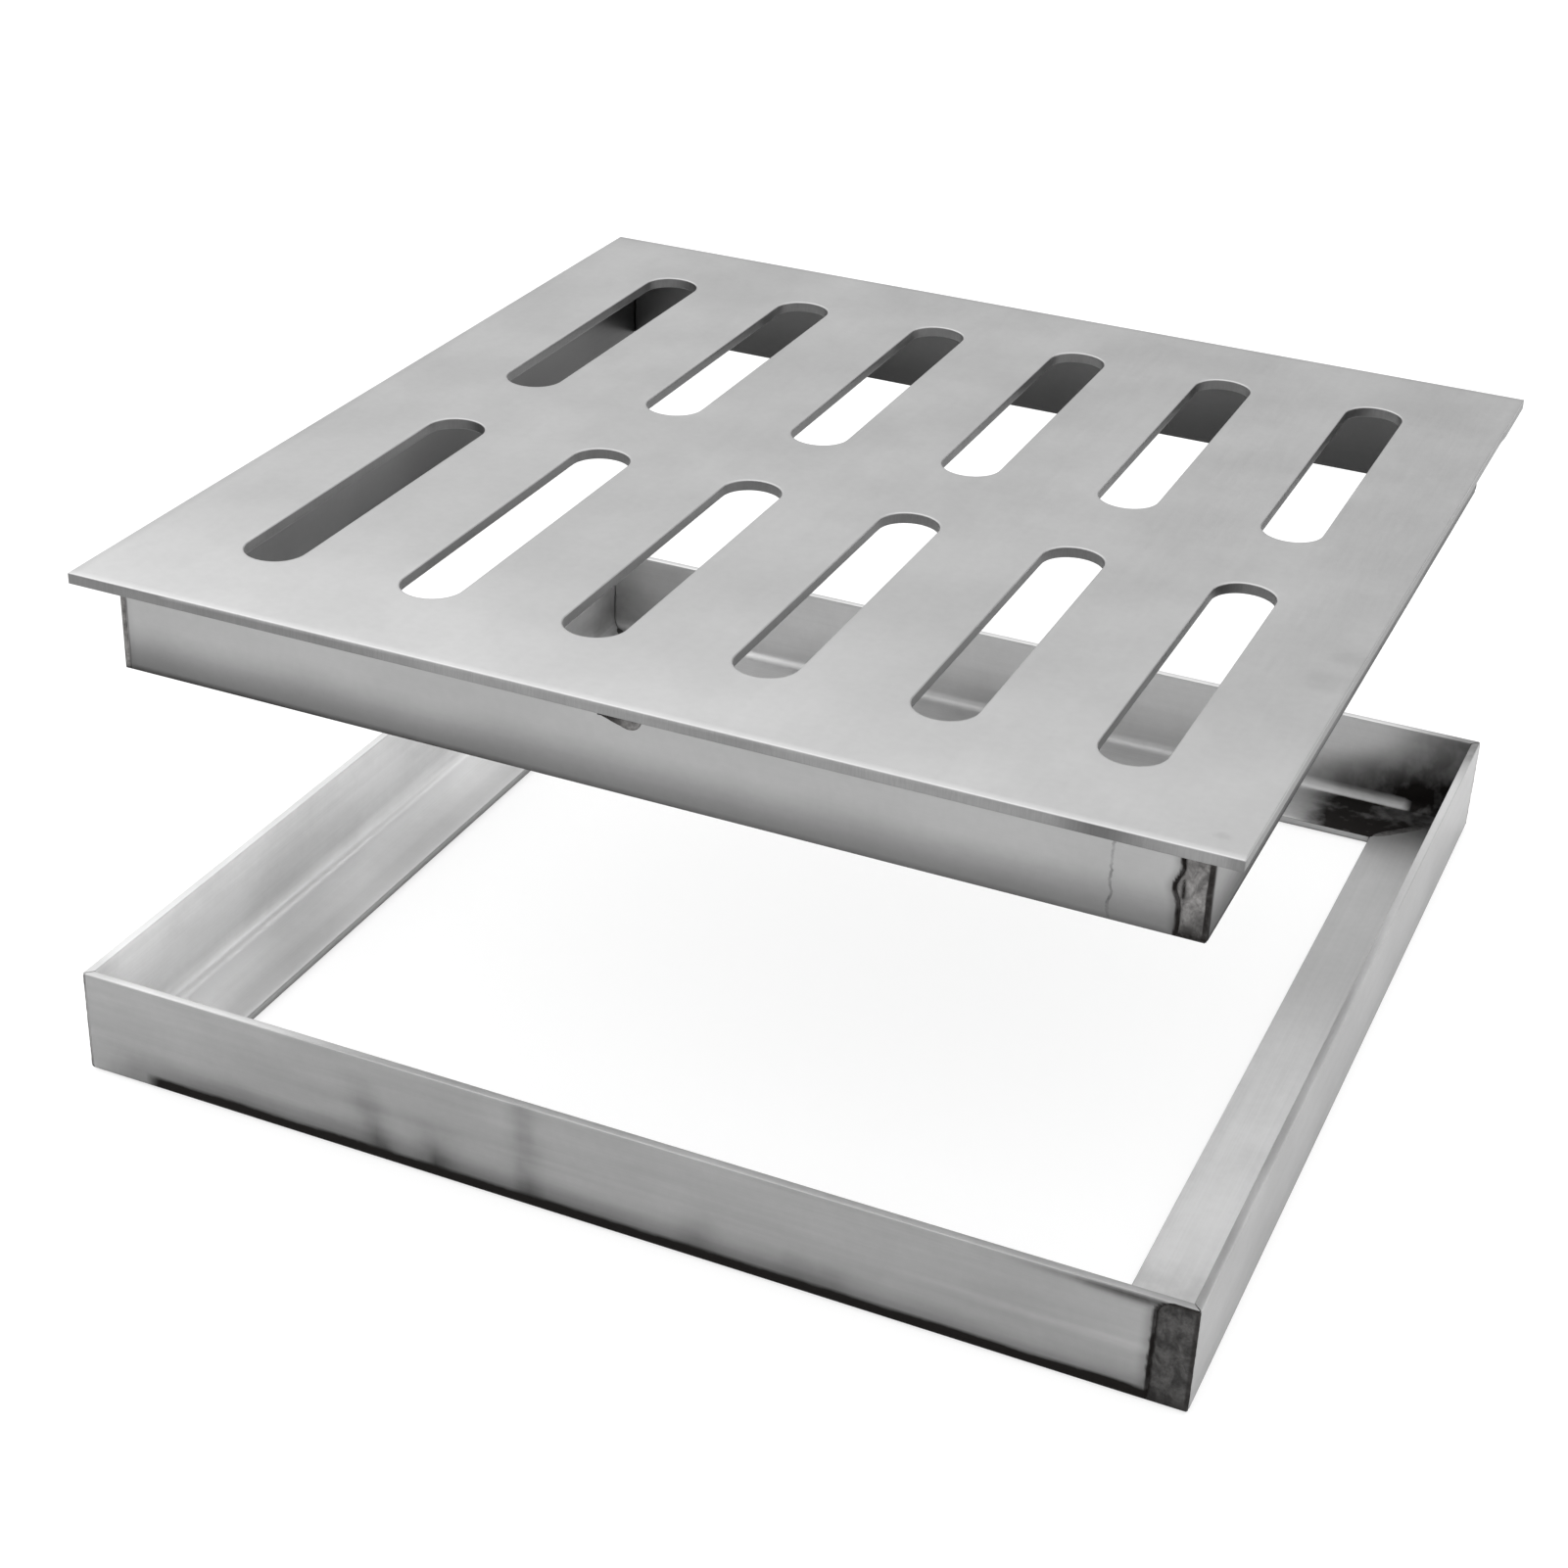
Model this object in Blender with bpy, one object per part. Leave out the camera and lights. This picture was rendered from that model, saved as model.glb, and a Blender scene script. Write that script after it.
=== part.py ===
"""Square stainless floor drain: a welded angle frame and the slotted grate that lifts out of it.

World metres, +Z up. The origin is the middle of the frame's underside, +Y is the back.
The grate is modelled lifted clear of the frame; it seats LIFT lower, flush with the frame's top.
"""

from math import cos, pi, radians, sin, sqrt

import bmesh
import bpy
from mathutils import Matrix, Vector

# Frame: four angle rails, wall outside and ledge inside, mitred and welded
FRAME_SIDE = 0.300
FRAME_HEIGHT = 0.030
FRAME_SHEET = 0.0025
LEDGE_WIDTH = 0.025
BEND_INNER_RADIUS = 0.003
BEND_OUTER_RADIUS = 0.0015

# Grate: slotted plate on a skirt of flat bars
PLATE_SIDE = 0.291
PLATE_SHEET = 0.003
SKIRT_INSET = 0.008
SKIRT_SHEET = 0.003
LIFT = 0.113

# Slots: two rows of six, rounded ends, long side front to back
SLOT_WIDTH = 0.016
SLOT_LENGTH = 0.103
SLOT_PITCH_X = 0.044
SLOT_PITCH_Y = 0.1325
SLOT_COLUMNS = 6
SLOT_ROWS = 2

# Welds
GAP = 0.0003
CORNER_WELD_LEG = 0.0024
LEDGE_WELD_DEPTH = 0.0012
LEDGE_WELD_MARGIN = 0.0015
STITCH_LEG = 0.003
STITCH_LENGTH = 0.015
STITCH_OFFSET = 0.066
TACK_HALF = Vector((0.0055, 0.0014, 0.0014))
TACK_X = 0.002

ARC_STEPS = 12
BEND_STEPS = 6
TACK_STEPS = 16
MERGE_DISTANCE = 0.00001
SIDES = ("front", "right", "back", "left")
CORNERS = ("front_right", "back_right", "back_left", "front_left")

HALF_FRAME = FRAME_SIDE / 2
HALF_PLATE = PLATE_SIDE / 2
HALF_SKIRT = HALF_PLATE - SKIRT_INSET
SKIRT_HEIGHT = FRAME_HEIGHT - FRAME_SHEET - PLATE_SHEET - 2 * GAP
SEATED_SKIRT_BASE = FRAME_SHEET + GAP
SKIRT_BASE = SEATED_SKIRT_BASE + LIFT
PLATE_UNDERSIDE = SKIRT_BASE + SKIRT_HEIGHT + GAP


def clear_scene():
    for item in list(bpy.data.objects):
        bpy.data.objects.remove(item, do_unlink=True)


def new_collection(name):
    group = bpy.data.collections.new(name)
    bpy.context.scene.collection.children.link(group)
    return group


def steel(name, colour, roughness):
    """A metal whose colour and roughness are those of one finish of the stainless."""
    material = bpy.data.materials.new(name)
    material.use_nodes = True
    shader = material.node_tree.nodes["Principled BSDF"]
    shader.inputs["Base Color"].default_value = (*colour, 1.0)
    shader.inputs["Metallic"].default_value = 1.0
    shader.inputs["Roughness"].default_value = roughness
    return material


def place(name, mesh, group, material, parent, matrix=None):
    """One named object from a mesh, in its collection and under its empty."""
    if not mesh.materials:
        mesh.materials.append(material)
    item = bpy.data.objects.new(name, mesh)
    group.objects.link(item)
    item.parent = parent
    item.matrix_local = matrix or Matrix()
    return item


def quarter_turn(side):
    """Turns a piece of the front side onto the side with this number."""
    return Matrix.Rotation(side * pi / 2, 4, "Z")


def arc(centre, radius, start, end, steps):
    """Points along an arc, ends included, angles in degrees."""
    angles = [radians(start + (end - start) * i / steps) for i in range(steps + 1)]
    return [(centre[0] + radius * cos(a), centre[1] + radius * sin(a)) for a in angles]


def outline_curve(name, outlines, thickness):
    """A flat outline, with any holes in it, as a filled 2D curve of this thickness."""
    curve = bpy.data.curves.new(name, "CURVE")
    curve.dimensions = "2D"
    curve.fill_mode = "BOTH"
    curve.extrude = thickness / 2
    for points in outlines:
        spline = curve.splines.new("POLY")
        spline.points.add(len(points) - 1)
        for spot, (x, y) in zip(spline.points, points):
            spot.co = (x, y, 0.0, 1.0)
        spline.use_cyclic_u = True
    return curve


def mesh_of_curve(curve, name):
    """The curve's closed mesh, with its caps welded to its sides."""
    item = bpy.data.objects.new(name, curve)
    bpy.context.scene.collection.objects.link(item)
    evaluated = item.evaluated_get(bpy.context.evaluated_depsgraph_get())
    mesh = bpy.data.meshes.new_from_object(evaluated)
    mesh.name = name
    bpy.data.objects.remove(item, do_unlink=True)
    bpy.data.curves.remove(curve)
    solid = bmesh.new()
    solid.from_mesh(mesh)
    bmesh.ops.remove_doubles(solid, verts=solid.verts, dist=MERGE_DISTANCE)
    solid.to_mesh(mesh)
    solid.free()
    return mesh


def box_mesh(name, low, high):
    """A box between two corners."""
    mesh = bpy.data.meshes.new(name)
    solid = bmesh.new()
    low, high = Vector(low), Vector(high)
    centre = Matrix.Translation((low + high) / 2)
    size = Matrix.Diagonal((*(high - low), 1.0))
    bmesh.ops.create_cube(solid, size=1.0, matrix=centre @ size)
    solid.to_mesh(mesh)
    solid.free()
    return mesh


def slice_off(mesh, point, outward):
    """Cuts away what lies beyond a plane and closes the cut."""
    solid = bmesh.new()
    solid.from_mesh(mesh)
    everything = solid.verts[:] + solid.edges[:] + solid.faces[:]
    cut = bmesh.ops.bisect_plane(
        solid, geom=everything, plane_co=point, plane_no=outward, clear_outer=True
    )
    rim = [e for e in cut["geom_cut"] if isinstance(e, bmesh.types.BMEdge)]
    bmesh.ops.holes_fill(solid, edges=rim, sides=0)
    bmesh.ops.recalc_face_normals(solid, faces=solid.faces)
    solid.to_mesh(mesh)
    solid.free()


def mitre(mesh, half_length):
    """Cuts both ends of a front-side bar at 45 degrees, and its outer corners for the weld."""
    diagonal_gap = GAP / 2 * sqrt(2)
    weld_plane = half_length - (CORNER_WELD_LEG + GAP * sqrt(2)) / 2
    for end in (-1, 1):
        slice_off(mesh, (end * (half_length - diagonal_gap), -half_length, 0), (end, 1, 0))
        slice_off(mesh, (end * weld_plane, -weld_plane, 0), (end, -1, 0))


def rail_mesh():
    """The front rail: an angle with its wall outside, its bend below and its ledge inside."""
    outer = BEND_OUTER_RADIUS
    inner = FRAME_SHEET + BEND_INNER_RADIUS
    section = [(0.0, FRAME_HEIGHT)]
    section += arc((outer, outer), outer, 180, 270, BEND_STEPS)
    section += [(LEDGE_WIDTH, 0.0), (LEDGE_WIDTH, FRAME_SHEET)]
    section += arc((inner, inner), BEND_INNER_RADIUS, 270, 180, BEND_STEPS)
    section += [(FRAME_SHEET, FRAME_HEIGHT)]
    mesh = mesh_of_curve(outline_curve("rail_section", [section], FRAME_SIDE), "frame_rail")
    along_x = Matrix(((0, 0, 1, 0), (1, 0, 0, -HALF_FRAME), (0, 1, 0, 0), (0, 0, 0, 1)))
    mesh.transform(along_x)
    mitre(mesh, HALF_FRAME)
    return mesh


def ledge_groove_bar(name, half_height, half_length):
    """A square bar on edge, along the right front mitre, its axis in the ledge's top face."""
    mesh = bpy.data.meshes.new(name)
    solid = bmesh.new()
    side = half_height * sqrt(2)
    bmesh.ops.create_cube(solid, size=1.0, matrix=Matrix.Diagonal((2 * half_length, side, side, 1)))
    on_edge = Matrix.Rotation(radians(45), 4, "X")
    along_mitre = Matrix.Rotation(radians(-45), 4, "Z")
    outer = HALF_FRAME - FRAME_SHEET - BEND_INNER_RADIUS
    middle = (outer + HALF_FRAME - LEDGE_WIDTH) / 2
    centre = Matrix.Translation((middle, -middle, FRAME_SHEET))
    bmesh.ops.transform(solid, matrix=centre @ along_mitre @ on_edge, verts=solid.verts)
    solid.to_mesh(mesh)
    solid.free()
    return mesh


def ledge_weld_half_length():
    run = LEDGE_WIDTH - FRAME_SHEET - BEND_INNER_RADIUS
    return (run / 2 - LEDGE_WELD_MARGIN) * sqrt(2)


def place_cutter(name, mesh, cutters, material, parent, matrix):
    """A cutter shows as wire and is left out of renders."""
    cutter = place(name, mesh, cutters, material, parent, matrix)
    cutter.hide_render = True
    cutter.display_type = "WIRE"
    return cutter


def cut_with(item, cutter):
    cut = item.modifiers.new(cutter.name, "BOOLEAN")
    cut.operation = "DIFFERENCE"
    cut.solver = "EXACT"
    cut.object = cutter


def frame_rails(group, cutters, material, parent):
    """Four equal rails, each grooved at its two ends for the ledge welds."""
    groove = ledge_groove_bar(
        "ledge_groove", LEDGE_WELD_DEPTH + GAP * sqrt(2), ledge_weld_half_length() + GAP
    )
    grooves = []
    for number, corner in enumerate(CORNERS):
        name = "ledge_groove_" + corner
        turn = quarter_turn(number)
        grooves.append(place_cutter(name, groove, cutters, material, parent, turn))
    mesh = rail_mesh()
    for number, side in enumerate(SIDES):
        rail = place("frame_rail_" + side, mesh, group, material, parent, quarter_turn(number))
        cut_with(rail, grooves[number])
        cut_with(rail, grooves[number - 1])


def corner_weld_mesh(name, half_side, base, height):
    """The weld metal that makes up the outer corner, front right: a three-sided upright bar."""
    corner = Vector((half_side, -half_side))
    low = (corner.x - CORNER_WELD_LEG, corner.y, base)
    high = (corner.x, corner.y + CORNER_WELD_LEG, base + height)
    mesh = box_mesh(name, low, high)
    middle = half_side - CORNER_WELD_LEG / 2
    slice_off(mesh, (middle, -middle, 0), (-1, 1, 0))
    return mesh


def frame_corner_welds(group, material, parent):
    """Upright welds on the frame's corners, ending where the outer bend turns under."""
    base = BEND_OUTER_RADIUS
    mesh = corner_weld_mesh("frame_corner_weld", HALF_FRAME, base, FRAME_HEIGHT - base)
    for number, corner in enumerate(CORNERS):
        name = "frame_corner_weld_" + corner
        place(name, mesh, group, material, parent, quarter_turn(number))


def ledge_welds(group, material, parent):
    """Welds along the ledge's mitres, ground flush so that the skirt sits flat."""
    mesh = ledge_groove_bar("ledge_weld", LEDGE_WELD_DEPTH, ledge_weld_half_length())
    slice_off(mesh, (0, 0, FRAME_SHEET), (0, 0, 1))
    for number, corner in enumerate(CORNERS):
        place("ledge_weld_" + corner, mesh, group, material, parent, quarter_turn(number))


def slot_outline(x, y):
    """An obround with its long side along Y."""
    radius = SLOT_WIDTH / 2
    reach = SLOT_LENGTH / 2 - radius
    far_end = arc((x, y + reach), radius, 0, 180, ARC_STEPS)
    near_end = arc((x, y - reach), radius, 180, 360, ARC_STEPS)
    return far_end + near_end


def slot_centres():
    columns = [(c - (SLOT_COLUMNS - 1) / 2) * SLOT_PITCH_X for c in range(SLOT_COLUMNS)]
    rows = [(r - (SLOT_ROWS - 1) / 2) * SLOT_PITCH_Y for r in range(SLOT_ROWS)]
    return [(x, y) for x in columns for y in rows]


def score(mesh, point, normal, belongs):
    """Splits the chosen faces along a plane, so that each slot is cut from a face of its own."""
    solid = bmesh.new()
    solid.from_mesh(mesh)
    faces = [f for f in solid.faces if belongs(f.calc_center_median())]
    edges = {e for f in faces for e in f.edges}
    verts = {v for f in faces for v in f.verts}
    geometry = faces + list(edges) + list(verts)
    bmesh.ops.bisect_plane(solid, geom=geometry, plane_co=point, plane_no=normal)
    solid.to_mesh(mesh)
    solid.free()


def grate_plate(group, cutters, material, parent):
    """The plate, cut by the twelve slots."""
    size = Vector((HALF_PLATE, HALF_PLATE, PLATE_SHEET / 2))
    mesh = box_mesh("grate_plate", -size, size)
    band = (SLOT_PITCH_Y - SLOT_LENGTH) / 2 - GAP
    for y in (-band, band):
        score(mesh, (0, y, 0), (0, 1, 0), lambda centre: True)
    for column in range(1, SLOT_COLUMNS):
        x = (column - SLOT_COLUMNS / 2) * SLOT_PITCH_X
        score(mesh, (x, 0, 0), (1, 0, 0), lambda centre: abs(centre.y) > band)
    outlines = [slot_outline(x, y) for x, y in slot_centres()]
    slots = mesh_of_curve(outline_curve("slot_outlines", outlines, 3 * PLATE_SHEET), "slots")
    height = Matrix.Translation((0, 0, PLATE_UNDERSIDE + PLATE_SHEET / 2 - LIFT))
    plate = place("grate_plate", mesh, group, material, parent, height)
    cut_with(plate, place_cutter("slots", slots, cutters, material, parent, height))


def skirt_bars(group, material, parent):
    """Four flat bars on edge under the plate, mitred at the corners."""
    low = (-HALF_SKIRT, -HALF_SKIRT, SEATED_SKIRT_BASE)
    high = (HALF_SKIRT, -HALF_SKIRT + SKIRT_SHEET, SEATED_SKIRT_BASE + SKIRT_HEIGHT)
    mesh = box_mesh("skirt", low, high)
    mitre(mesh, HALF_SKIRT)
    for number, side in enumerate(SIDES):
        place("skirt_" + side, mesh, group, material, parent, quarter_turn(number))


def skirt_corner_welds(group, material, parent):
    """Upright welds on the skirt's corners."""
    mesh = corner_weld_mesh("skirt_corner_weld", HALF_SKIRT, SEATED_SKIRT_BASE, SKIRT_HEIGHT)
    for number, corner in enumerate(CORNERS):
        name = "skirt_corner_weld_" + corner
        place(name, mesh, group, material, parent, quarter_turn(number))


def stitch_welds(group, material, parent):
    """Two short fillets a side, inside the skirt, that hold it to the plate."""
    inner_face = -HALF_SKIRT + SKIRT_SHEET + GAP
    top = PLATE_UNDERSIDE - LIFT - GAP
    low = (-STITCH_LENGTH / 2, inner_face, top - STITCH_LEG)
    high = (STITCH_LENGTH / 2, inner_face + STITCH_LEG, top)
    mesh = box_mesh("stitch_weld", low, high)
    slice_off(mesh, (0, inner_face, top - STITCH_LEG), (0, 1, -1))
    for number, side in enumerate(SIDES):
        for end, offset in enumerate((-STITCH_OFFSET, STITCH_OFFSET), start=1):
            shift = Matrix.Translation((offset, 0, 0))
            name = f"stitch_weld_{side}_{end}"
            place(name, mesh, group, material, parent, quarter_turn(number) @ shift)


def front_tack_weld(group, material, parent):
    """One bead that hangs from the plate's front edge, near its middle."""
    mesh = bpy.data.meshes.new("front_tack_weld")
    bead = bmesh.new()
    bmesh.ops.create_uvsphere(bead, u_segments=TACK_STEPS, v_segments=TACK_STEPS // 2, radius=1.0)
    bead.to_mesh(mesh)
    bead.free()
    mesh.shade_smooth()
    y = -HALF_PLATE + TACK_HALF.y
    z = PLATE_UNDERSIDE - LIFT - GAP - TACK_HALF.z
    size = Matrix.Diagonal((*TACK_HALF, 1.0))
    mesh.transform(size)
    spot = Matrix.Translation((TACK_X, y, z))
    place("front_tack_weld", mesh, group, material, parent, spot)


def empty(name, group, height):
    """An empty that one body's pieces hang from."""
    item = bpy.data.objects.new(name, None)
    group.objects.link(item)
    item.location = (0, 0, height)
    return item


def main():
    clear_scene()
    group = new_collection("floor_drain_grate")
    cutters = new_collection("cutters")
    frame_steel = steel("frame_steel", (0.60, 0.60, 0.60), 0.38)
    plate_steel = steel("plate_steel", (0.47, 0.47, 0.47), 0.34)
    skirt_steel = steel("skirt_steel", (0.45, 0.45, 0.45), 0.36)
    weld_steel = steel("weld_steel", (0.20, 0.19, 0.18), 0.55)
    frame = empty("frame", group, 0.0)
    grate = empty("grate", group, LIFT)
    frame_rails(group, cutters, frame_steel, frame)
    frame_corner_welds(group, weld_steel, frame)
    ledge_welds(group, weld_steel, frame)
    grate_plate(group, cutters, plate_steel, grate)
    skirt_bars(group, skirt_steel, grate)
    skirt_corner_welds(group, weld_steel, grate)
    stitch_welds(group, weld_steel, grate)
    front_tack_weld(group, weld_steel, grate)


main()
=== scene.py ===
"""Looks of the floor drain grate: bent and welded stainless, on a white sweep under soft light.

Lengths in the mesh code are millimetres. Each side's pieces are made in the front side's
coordinates and turned a quarter, half or three quarters round. In a bar's section u runs in from
its outer face and z up, and nu is the u part of the normal. Two values painted on the points drive
the steel's looks: a burn mask, which turns it black round welds and also paints black shadow
along the bottom edges of the rails, and tone, which makes it lighter or darker; much of the tone
is painted light and shade.
"""

from math import copysign, cos, exp, pi, radians, sin, sqrt

import bpy
from mathutils import Matrix, Vector, noise


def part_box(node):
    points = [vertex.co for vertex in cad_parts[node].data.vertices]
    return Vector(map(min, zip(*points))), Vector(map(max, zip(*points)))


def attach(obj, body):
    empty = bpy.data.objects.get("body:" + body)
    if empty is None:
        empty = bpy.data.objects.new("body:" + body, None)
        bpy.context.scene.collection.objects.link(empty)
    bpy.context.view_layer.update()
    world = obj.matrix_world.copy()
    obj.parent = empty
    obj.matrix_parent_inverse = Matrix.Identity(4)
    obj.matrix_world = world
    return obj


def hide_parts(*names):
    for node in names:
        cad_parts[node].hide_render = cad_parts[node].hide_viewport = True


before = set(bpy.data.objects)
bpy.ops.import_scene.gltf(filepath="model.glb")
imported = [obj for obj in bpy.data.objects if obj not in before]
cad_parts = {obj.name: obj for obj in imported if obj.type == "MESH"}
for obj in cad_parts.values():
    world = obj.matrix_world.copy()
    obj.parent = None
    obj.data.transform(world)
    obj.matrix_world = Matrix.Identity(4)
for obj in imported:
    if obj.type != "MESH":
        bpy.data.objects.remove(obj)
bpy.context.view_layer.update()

MM = 0.001
SIDES = ("front", "right", "back", "left")
CORNERS = ("front_right", "back_right", "back_left", "front_left")


def cad_mm(node):
    """A CAD node's lowest and highest corner, in millimetres."""
    low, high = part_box(node)
    return low / MM, high / MM


rail_low, rail_high = cad_mm("frame_rail_front")
_, ledge_high = cad_mm("ledge_weld_front_right")
plate_low, plate_high = cad_mm("grate_plate")
bar_low, bar_high = cad_mm("skirt_front")

# Frame: half its side, the rails' section, and the radii of its bend and of its sheet's edges
HALF = -rail_low.y
HEIGHT = rail_high.z
LEDGE = rail_high.y - rail_low.y
SHEET = ledge_high.z
BEND_OUT = 1.5
BEND_IN = 3.0
EDGE = 0.35

# Grate: the plate, and the skirt's bars with their sharper edges
PLATE_HALF = plate_high.x
PLATE_TOP = plate_high.z
PLATE_BOTTOM = plate_low.z
PLATE_RIM = 0.3
BAR_HALF = -bar_low.y
BAR_SHEET = bar_high.y - bar_low.y
BAR_BOTTOM = bar_low.z
BAR_TOP = bar_high.z
BAR_EDGE = 0.12
STITCH_OFFSET = 66.0
STITCH_LENGTH = 15.0

# Slots: rounded ends, long side along Y, each in a cell of a grid that is divided into quads
SLOT_RADIUS = 8.0
SLOT_REACH = 43.5
PITCH_X = 44.0
PITCH_Y = 132.5
COLUMNS = 6
ROWS = 2
CELLS_X, CELLS_Y = 11, 33
MARGIN_CELLS = 6

# Welds: half the gap at a mitre, the recess under a weld patch, and the patch's thickness
SEAM = 0.15
RECESS = 0.45
WELD_SKIN = 1.3
SHARP_ANGLE = radians(40)


# ---------------------------------------------------------------- numbers


def smooth(low, high, value):
    """0 below low, 1 above high, eased between."""
    t = min(1.0, max(0.0, (value - low) / (high - low)))
    return t * t * (3 - 2 * t)


def rough_noise(x, y, z, octaves=3):
    """About -1 to 1."""
    total, size = 0.0, 1.0
    for _ in range(octaves):
        total += noise.noise(Vector((x, y, z))) * size
        x, y, z, size = x * 2.03 + 11.7, y * 2.03 + 5.1, z * 2.03 + 3.3, size * 0.5
    return total


def bump(value, centre, width):
    """1 at the centre, falling smoothly to 0 on both sides."""
    return exp(-(((value - centre) / width) ** 2))


# ---------------------------------------------------------------- meshes


def turn(side):
    """Takes a piece made on the front side to the side with this number."""
    return Matrix.Rotation(side * pi / 2, 4, "Z")


def make_piece(name, points, faces, materials, body, slot, nodes, side=0, masks=None, groups=None):
    """A mesh piece from points in millimetres, riding on its body and standing for its nodes."""
    mesh = bpy.data.meshes.new(name)
    mesh.from_pydata([(x * MM, y * MM, z * MM) for x, y, z in points], [], faces)
    for material in materials:
        mesh.materials.append(material)
    for key, values in (masks or {}).items():
        layer = mesh.attributes.new(key, "FLOAT", "POINT")
        layer.data.foreach_set("value", values)
    if groups:
        mesh.polygons.foreach_set("material_index", groups)
    mesh.validate()
    mesh.shade_smooth()
    mesh.set_sharp_from_angle(angle=SHARP_ANGLE)
    item = bpy.data.objects.new(name, mesh)
    bpy.context.scene.collection.objects.link(item)
    item.matrix_world = turn(side)
    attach(item, body)
    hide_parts(*nodes)
    return item


def rounded_section(corners, steps):
    """A closed section from (u, z, radius) corners, anticlockwise, with each straight run divided.

    Gives (u, z, normal u, normal z). steps holds the spacing for the run after each corner.
    """
    count = len(corners)
    runs = []
    for i, (u, z, radius) in enumerate(corners):
        here = Vector((u, z))
        before = Vector(corners[i - 1][:2]) - here
        after = Vector(corners[(i + 1) % count][:2]) - here
        before.normalize()
        after.normalize()
        bisector = (before + after).normalized()
        half_angle = before.angle(after) / 2
        centre = here + bisector * (radius / sin(half_angle))
        reach = radius / (sin(half_angle) / cos(half_angle))
        start, end = here + before * reach, here + after * reach
        pieces = 4 if radius < 1 else 8
        first, last = start - centre, end - centre
        swept = pi - 2 * half_angle
        arc = []
        for k in range(pieces + 1):
            t = k / pieces
            blend = first * sin((1 - t) * swept) + last * sin(t * swept)
            arc.append(centre + blend.normalized() * radius)
        runs.append(arc)
    points = []
    for i, arc in enumerate(runs):
        points += arc
        gap = runs[(i + 1) % count][0] - arc[-1]
        pieces = max(1, round(gap.length / steps[i]))
        points += [arc[-1] + gap * k / pieces for k in range(1, pieces)]
    total = len(points)
    result = []
    for i, point in enumerate(points):
        tangent = (points[(i + 1) % total] - points[i - 1]).normalized()
        result.append((point.x, point.y, tangent.y, -tangent.x))
    return result


def stations(fine_reach, fine_step, coarse_step, length):
    """Distances from an end to the middle, close together near the end."""
    spots = [fine_step * k for k in range(int(fine_reach / fine_step) + 1)]
    left = length - spots[-1]
    pieces = max(1, round(left / coarse_step))
    return spots + [spots[-1] + left * k / pieces for k in range(1, pieces + 1)]


def bar_mesh(section, half, ends, depth, paint):
    """A mitred bar along X: the section swept from one mitre to the other.

    depth(x, u, z, nu) gives how far a point sits below its nominal face, and paint the masks there.
    """
    near = [1 - e / half for e in ends]
    line = [-s for s in near] + near[-2::-1]
    points, soot, tone = [], [], []
    for s in line:
        for u, z, nu, nz in section:
            x = s * (half - u - SEAM * sqrt(2))
            d = depth(x, u, z, nu)
            points.append((x, -half + u - nu * d, z - nz * d))
            dark, shade = paint(x, u, z, nu)
            soot.append(dark)
            tone.append(shade)
    n, rows = len(section), len(line)
    faces = []
    for i in range(rows - 1):
        for j in range(n):
            k = (j + 1) % n
            faces.append((i * n + j, (i + 1) * n + j, (i + 1) * n + k, i * n + k))
    faces.append(tuple(range(n)))
    faces.append(tuple((rows - 1) * n + j for j in reversed(range(n))))
    return points, faces, {"soot": soot, "tone": tone}


# ---------------------------------------------------------------- materials


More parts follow.
